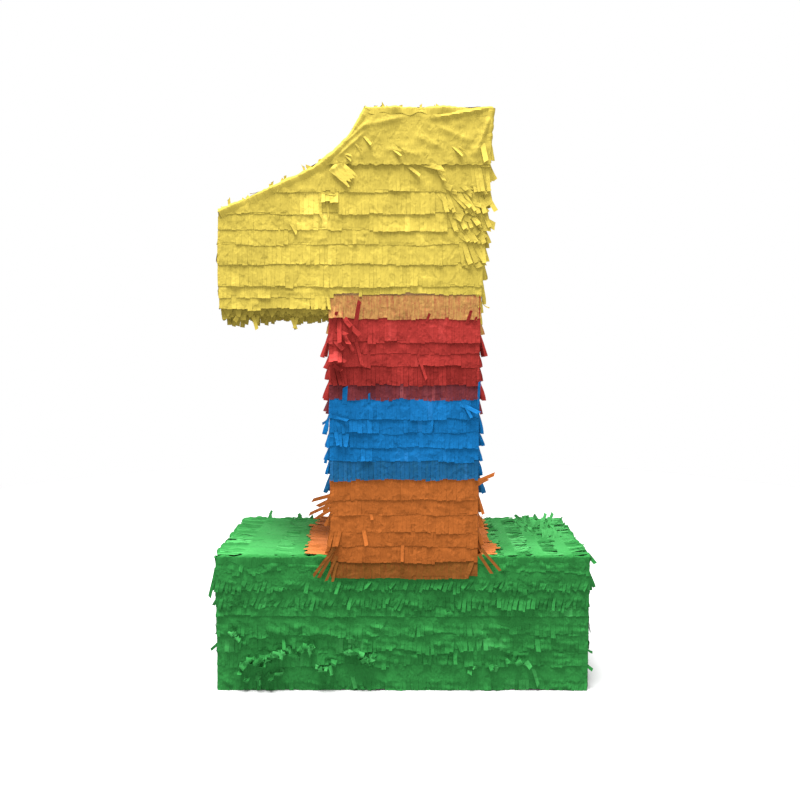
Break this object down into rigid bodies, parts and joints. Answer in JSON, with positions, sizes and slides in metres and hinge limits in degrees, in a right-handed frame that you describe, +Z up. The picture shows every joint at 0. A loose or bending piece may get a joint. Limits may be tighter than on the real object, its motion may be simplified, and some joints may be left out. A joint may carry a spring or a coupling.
{
  "type": "pinata",
  "caption": "Hollow cardboard figure one covered in rows of fringed tissue paper, with a folding fill flap in the back and cord holes in the top.",
  "frame": {"origin": "middle of the flat face that the base rests on", "axes": "+Z up along the stem, +X to the figure's right as seen from the front, +Y from the front to the back"},
  "size_m": [0.356, 0.15, 0.543],
  "materials": {
    "kraft_board": "matte",
    "yellow_tissue": "matte",
    "yellow_over_red_tissue": "matte",
    "red_tissue": "matte",
    "red_over_blue_tissue": "matte",
    "blue_tissue": "matte",
    "blue_over_orange_tissue": "matte",
    "orange_tissue": "matte",
    "orange_over_green_tissue": "matte",
    "green_tissue": "matte"
  },
  "bodies": {
    "shell": {"back_panel": "kraft_board", "base_bottom_strip": "kraft_board", "base_left_strip": "kraft_board", "base_right_strip": "kraft_board", "base_top_left_strip": "kraft_board", "base_top_right_strip": "kraft_board", "blue_over_orange_row": "blue_over_orange_tissue", "blue_row_1": "blue_tissue", "blue_row_2": "blue_tissue", "blue_row_3": "blue_tissue", "blue_row_4": "blue_tissue", "bottom_cover": "green_tissue", "flag_slope_strip": "kraft_board", "flag_tip_strip": "kraft_board", "flag_underside_strip": "kraft_board", "front_panel": "kraft_board", "green_band": "green_tissue", "green_row_1": "green_tissue", "green_row_2": "green_tissue", "green_row_3": "green_tissue", "green_row_4": "green_tissue", "green_row_5": "green_tissue", "green_row_6": "green_tissue", "green_row_7": "green_tissue", "green_top_rows_left": "green_tissue", "green_top_rows_right": "green_tissue", "hang_plate": "kraft_board", "orange_base_patches": "orange_tissue", "orange_over_green_row": "orange_over_green_tissue", "orange_row_1": "orange_tissue", "orange_row_2": "orange_tissue", "orange_row_3": "orange_tissue", "orange_row_4": "orange_tissue", "orange_row_5": "orange_tissue", "red_over_blue_row": "red_over_blue_tissue", "red_row_1": "red_tissue", "red_row_2": "red_tissue", "red_row_3": "red_tissue", "red_row_4": "red_tissue", "right_side_strip": "kraft_board", "slope_cover": "yellow_tissue", "stem_left_strip": "kraft_board", "top_strip": "kraft_board", "underside_fringe": "yellow_tissue", "yellow_over_red_row": "yellow_over_red_tissue", "yellow_row_1": "yellow_tissue", "yellow_row_2": "yellow_tissue", "yellow_row_3": "yellow_tissue", "yellow_row_4": "yellow_tissue", "yellow_row_5": "yellow_tissue", "yellow_row_6": "yellow_tissue", "yellow_row_7": "yellow_tissue", "yellow_row_8": "yellow_tissue", "yellow_top_sheet": "yellow_tissue"},
    "flap": {"fill_flap": "kraft_board", "flap_rows": "yellow_tissue"}
  },
  "joints": [
    {"name": "fill_flap_hinge", "type": "hinge", "parent": "shell", "child": "flap", "pos_m": [0.01, 0.0733, 0.5005], "axis": [1, 0, 0], "range_deg": [0, 120]}
  ]
}
